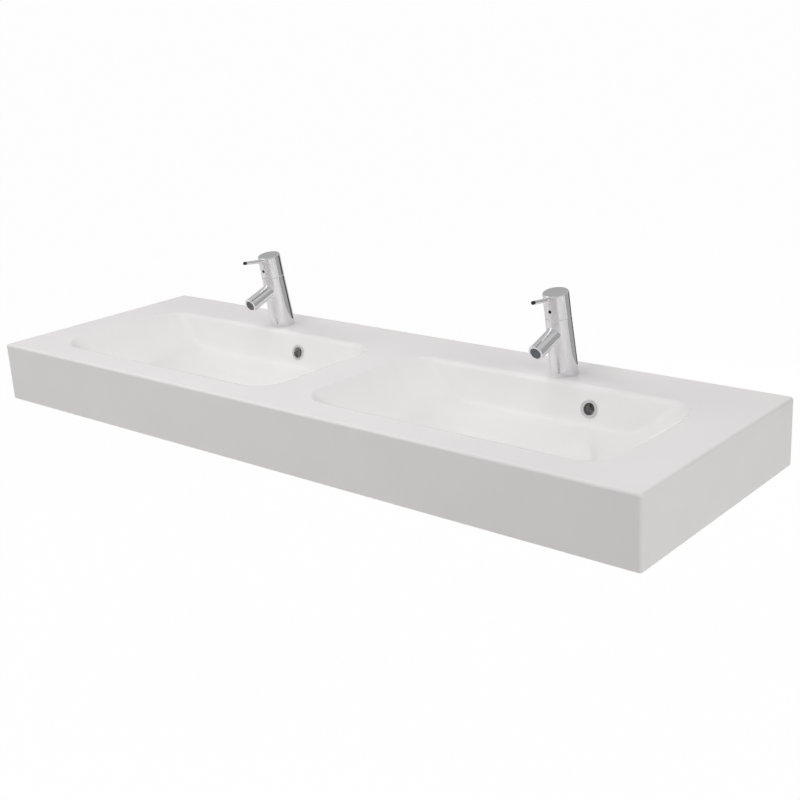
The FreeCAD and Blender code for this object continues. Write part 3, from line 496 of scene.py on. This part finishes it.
# Places and sizes in metres and powers in watts, which give the glaze the photograph's tones
LAMPS = (
    Lamp("lamp_near_top", (-0.1, -0.5, 1.5), (1.2, 0.8), 6.4),
    Lamp("lamp_front", (-0.6, -3.0, 1.8), (2.0, 1.2), 38.6),
    Lamp("lamp_high_left", (-1.8, -1.4, 2.2), (1.6, 1.6), 2.0),
    Lamp("lamp_high_right", (1.8, -1.6, 2.4), (1.6, 1.6), 7.7),
    Lamp("lamp_left", (-3.2, -0.4, 1.4), (1.6, 1.6), 41.9),
    Lamp("lamp_low_left", (-2.4, -2.4, 1.2), (1.6, 1.6), 5.6),
    Lamp("lamp_right", (3.2, -0.6, 1.2), (1.6, 1.6), 40.4),
    Lamp("lamp_low_right", (3.2, -0.8, 0.0), (1.6, 1.2), 1.5),
    Lamp("lamp_behind", (0.0, 2.4, 1.6), (2.4, 1.6), 16.1),
    Lamp("lamp_behind_high", (0.0, 1.6, 2.6), (3.0, 1.6), 18.2),
    Lamp("lamp_low_behind", (0.0, 3.0, -0.1), (2.4, 1.0), 22.0),
)


@dataclass(frozen=True)
class Card:
    """A plain studio card that only reflections show, for the light and dark in polished metal."""

    name: str
    place: tuple[float, float, float]
    size: tuple[float, float]
    level: float

    def stand(self) -> None:
        """Stand the card so that it faces the taps."""
        shape = bmesh.new()
        # A square of one metre, which the card's own size then scales
        bmesh.ops.create_grid(shape, x_segments=1, y_segments=1, size=0.5)
        bmesh.ops.scale(shape, vec=(self.size[0], self.size[1], 1.0), verts=shape.verts)
        aim = CARD_AIM - Vector(self.place)
        bmesh.ops.rotate(shape, matrix=aim.to_track_quat("Z", "Y").to_matrix(), verts=shape.verts)
        bmesh.ops.translate(shape, vec=self.place, verts=shape.verts)
        mesh = bpy.data.meshes.new(self.name)
        shape.to_mesh(mesh)
        shape.free()
        material, tree = new_material(self.name)
        glow = add(tree, "ShaderNodeEmission", {"Color": WHITE, "Strength": self.level})
        add(tree, "ShaderNodeOutputMaterial", links={"Surface": glow.outputs[0]})
        mesh.materials.append(material)
        card = bpy.data.objects.new(self.name, mesh)
        card.visible_camera = False
        card.visible_diffuse = False
        card.visible_transmission = False
        card.visible_shadow = False
        bpy.context.scene.collection.objects.link(card)


# Light and dark for the chrome: white to the left and right, grey and dark behind, a dark bar overhead
CARDS = (
    Card("card_right_white", (2.93, -0.62, 0.35), (1.9, 1.5), 0.85),
    Card("card_behind_right", (1.93, 2.30, 0.50), (4.4, 2.7), 0.40),
    Card("card_behind_dark", (0.16, 2.60, -0.20), (1.5, 1.3), 0.08),
    Card("card_high_behind", (-2.34, 2.60, 2.20), (2.0, 1.2), 0.45),
    Card("card_high_left_white", (-1.80, -1.40, 2.20), (1.6, 1.6), 1.6),
    Card("card_overhead_bar", (0.12, 0.49, 1.56), (0.3, 1.2), 0.12),
)


@dataclass
class Studio:
    """Pale floor, white surround, soft lamps and the camera, in metres and degrees."""

    floor_z: float = -0.85
    floor_half: float = 60.0
    floor_colour: str = "#f2f1ef"
    backdrop_level: float = 0.985
    mirror_level: float = 0.6
    room_light: float = 0.0
    camera_place: tuple[float, float, float] = (1.43135, -1.73194, 0.67154)
    camera_azimuth: float = 41.1996
    camera_elevation: float = 18.1593
    camera_roll: float = -3.2818
    lens_mm: float = 56.539
    sensor_mm: float = 36.0

    def build(self) -> None:
        """Set the whole studio."""
        self.world()
        self.floor()
        for lamp in LAMPS:
            lamp.hang()
        for card in CARDS:
            card.stand()
        self.camera()
        bpy.context.scene.view_settings.view_transform = "Standard"
        LOG.info("studio set with %d lamps and %d cards", len(LAMPS), len(CARDS))

    def seen(self, tree: bpy.types.NodeTree) -> bpy.types.NodeSocket:
        """A factor that is one where a camera ray arrives and less where a mirror or glass ray does.

        Args:
            tree: The tree that takes the nodes.

        Returns:
            The factor's socket.
        """
        path = add(tree, "ShaderNodeLightPath")
        mirror = add(tree, "ShaderNodeMath", links={0: path.outputs["Is Glossy Ray"],
                                                    1: path.outputs["Is Transmission Ray"]},
                     operation="MAXIMUM")
        dimmed = add(tree, "ShaderNodeMath", {1: self.mirror_level}, {0: mirror.outputs[0]},
                     operation="MULTIPLY")
        return add(tree, "ShaderNodeMath", links={0: path.outputs["Is Camera Ray"], 1: dimmed.outputs[0]},
                   operation="MAXIMUM").outputs[0]

    def world(self) -> None:
        """Near white to the eye, dimmer in reflections, and no light of its own."""
        world = bpy.data.worlds.new("pale_surround")
        world.use_nodes = True
        tree = world.node_tree
        tree.nodes.clear()
        level = add(tree, "ShaderNodeMapRange", {"To Min": self.room_light, "To Max": self.backdrop_level},
                    {"Value": self.seen(tree)})
        light = add(tree, "ShaderNodeBackground", {"Color": WHITE}, {"Strength": level.outputs[0]})
        add(tree, "ShaderNodeOutputWorld", links={"Surface": light.outputs[0]})
        bpy.context.scene.world = world

    def floor(self) -> None:
        """A wide pale floor well under the basin."""
        shape = bmesh.new()
        bmesh.ops.create_grid(shape, x_segments=1, y_segments=1, size=self.floor_half,
                              matrix=Matrix.Translation((0, 0, self.floor_z)))
        mesh = bpy.data.meshes.new("floor")
        shape.to_mesh(mesh)
        shape.free()
        floor = bpy.data.objects.new("floor", mesh)
        bpy.context.scene.collection.objects.link(floor)
        material, tree = new_material("pale_floor")
        matt = add(tree, "ShaderNodeBsdfDiffuse", {"Color": linear(self.floor_colour)})
        white = add(tree, "ShaderNodeEmission", {"Color": WHITE, "Strength": 1.0})
        share = add(tree, "ShaderNodeMath", {1: self.backdrop_level}, {0: self.seen(tree)},
                    operation="MULTIPLY")
        mixed = add(tree, "ShaderNodeMixShader", links={0: share.outputs[0], 1: matt.outputs[0],
                                                        2: white.outputs[0]})
        add(tree, "ShaderNodeOutputMaterial", links={"Surface": mixed.outputs[0]})
        mesh.materials.append(material)

    def camera(self) -> None:
        """Set the camera at the photograph's viewing angle."""
        turn = math.radians(self.camera_azimuth)
        rise = math.radians(self.camera_elevation)
        roll = math.radians(self.camera_roll)
        back = Vector((math.sin(turn) * math.cos(rise), -math.cos(turn) * math.cos(rise), math.sin(rise)))
        right = Vector((math.cos(turn), math.sin(turn), 0.0))
        up = back.cross(right)
        across = math.cos(roll) * right + math.sin(roll) * up
        upright = math.cos(roll) * up - math.sin(roll) * right
        data = bpy.data.cameras.new("camera")
        data.sensor_width = self.sensor_mm
        data.lens = self.lens_mm
        camera = bpy.data.objects.new("camera", data)
        axes = Matrix((across, upright, back)).transposed().to_4x4()
        camera.matrix_world = Matrix.Translation(self.camera_place) @ axes
        bpy.context.scene.collection.objects.link(camera)
        bpy.context.scene.camera = camera


def main() -> None:
    """Dress the basin and set the studio."""
    logging.basicConfig(level=logging.INFO)
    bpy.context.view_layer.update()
    skin = SmoothSkin()
    materials = {slot.value: finish.material() for slot, finish in FINISHES.items()}
    parts = [Slab(skin), Fittings(skin)]
    for side in Side:
        parts += [Mixer(skin, side), Waste(skin, side)]
    dressed = [name for part in parts for name in part.dress(materials)]
    LOG.info("%d of %d nodes are dressed", len(dressed), len(frame["nodes"]))
    Studio().build()


if __name__ == "__main__":
    main()
